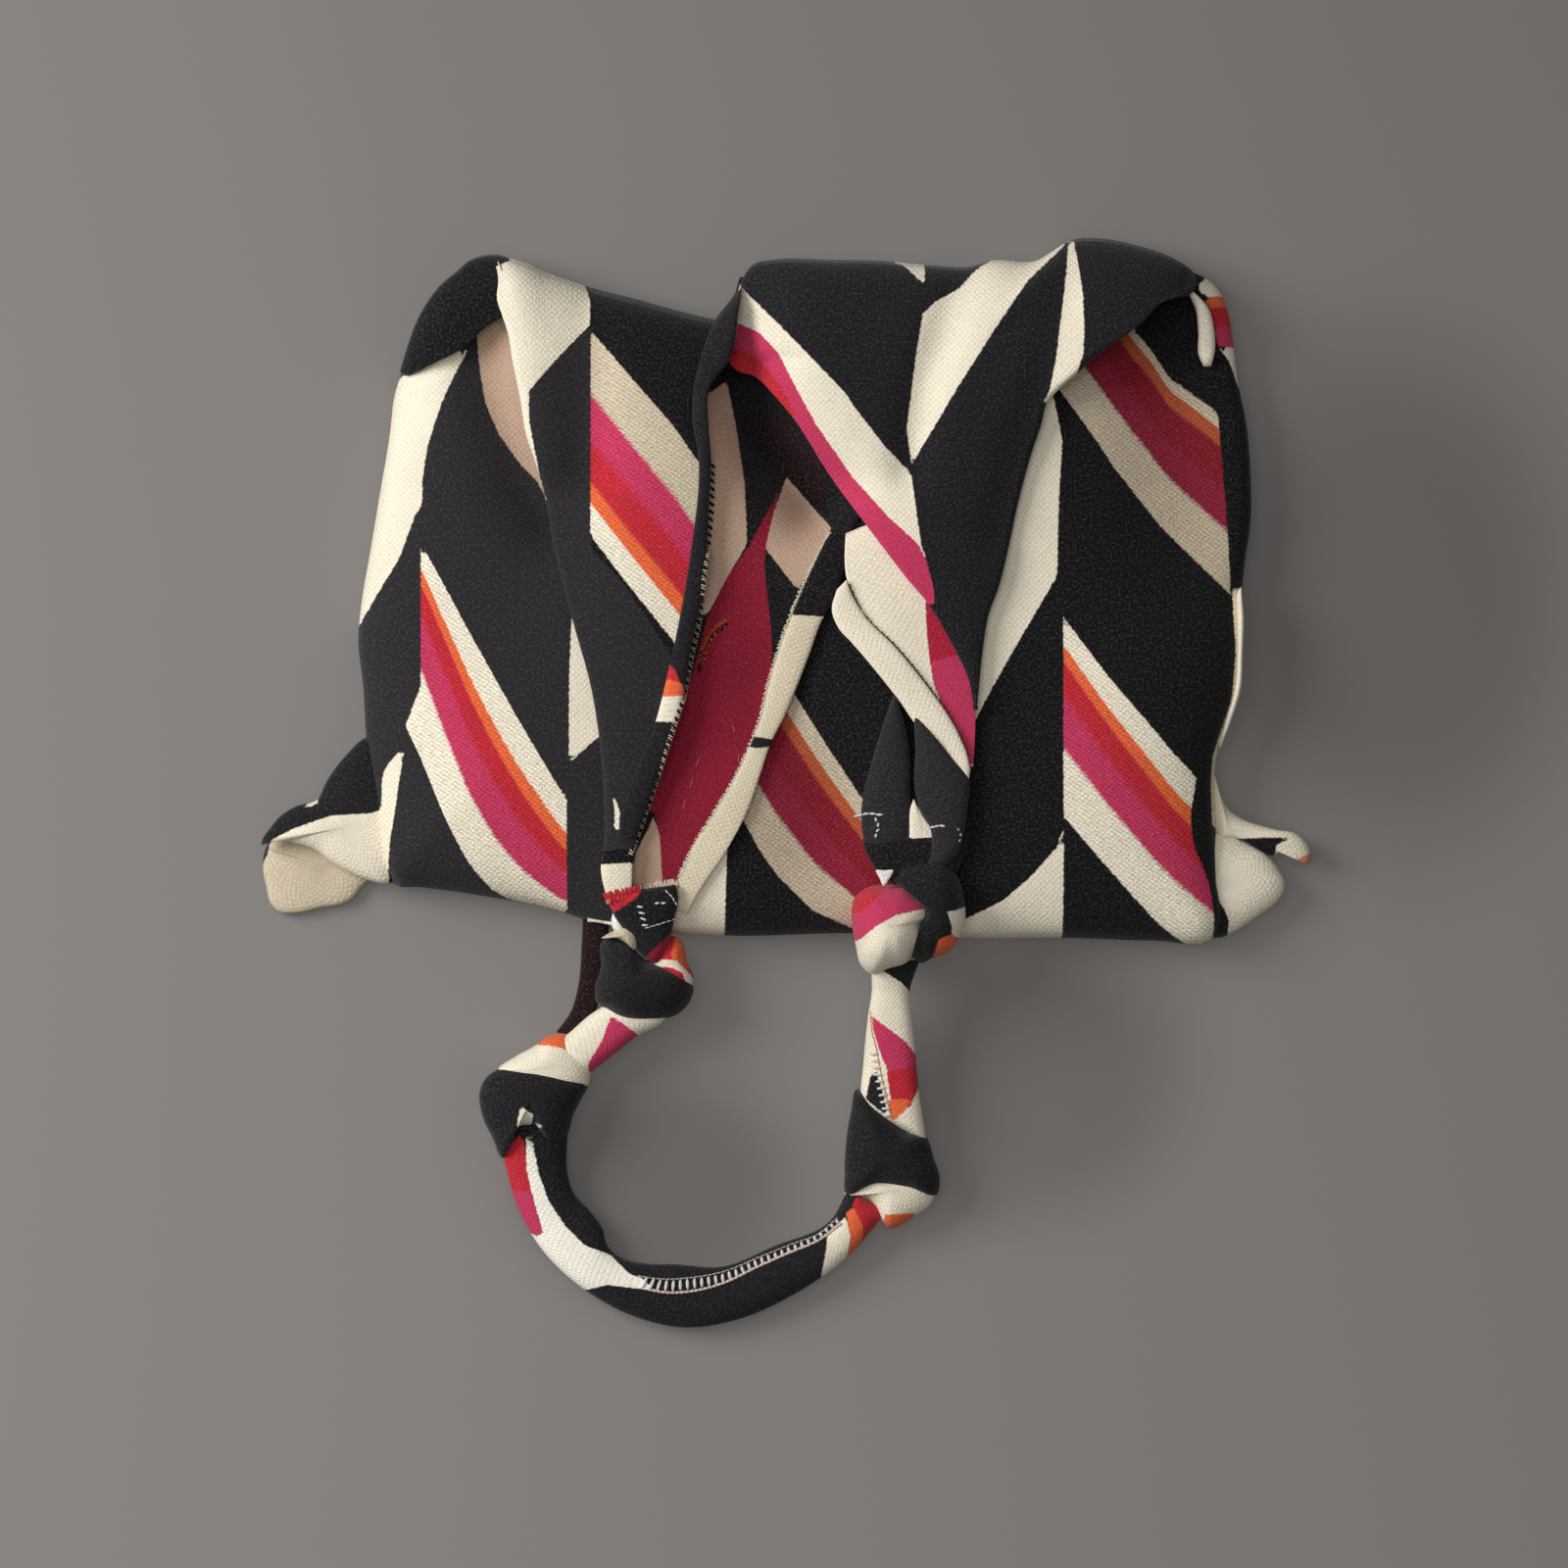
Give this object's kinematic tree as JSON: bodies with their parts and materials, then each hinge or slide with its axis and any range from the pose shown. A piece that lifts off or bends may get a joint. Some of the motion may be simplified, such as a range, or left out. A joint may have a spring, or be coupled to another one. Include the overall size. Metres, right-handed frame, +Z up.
{
  "type": "tote bag",
  "caption": "Soft cloth tote bag lying on its back, its pointed ears folded forward over the mouth and joined by a knotted cloth strap that lies in a loop.",
  "frame": {"origin": "on the floor under the middle of the bag and its strap", "axes": "+Z up, out of the front panel; +Y towards the top of the bag, -Y towards the strap; +X to the right as the front is seen"},
  "size_m": [0.4318, 0.4456, 0.0572],
  "materials": {
    "bag_cloth": "matte heavy woven cloth in a striped herringbone pattern",
    "strap_cloth": "matte heavy woven cloth, cut across the same striped pattern"
  },
  "bodies": {
    "root": {"bag_body": "bag_cloth", "handle_strap": "strap_cloth"}
  },
  "joints": []
}
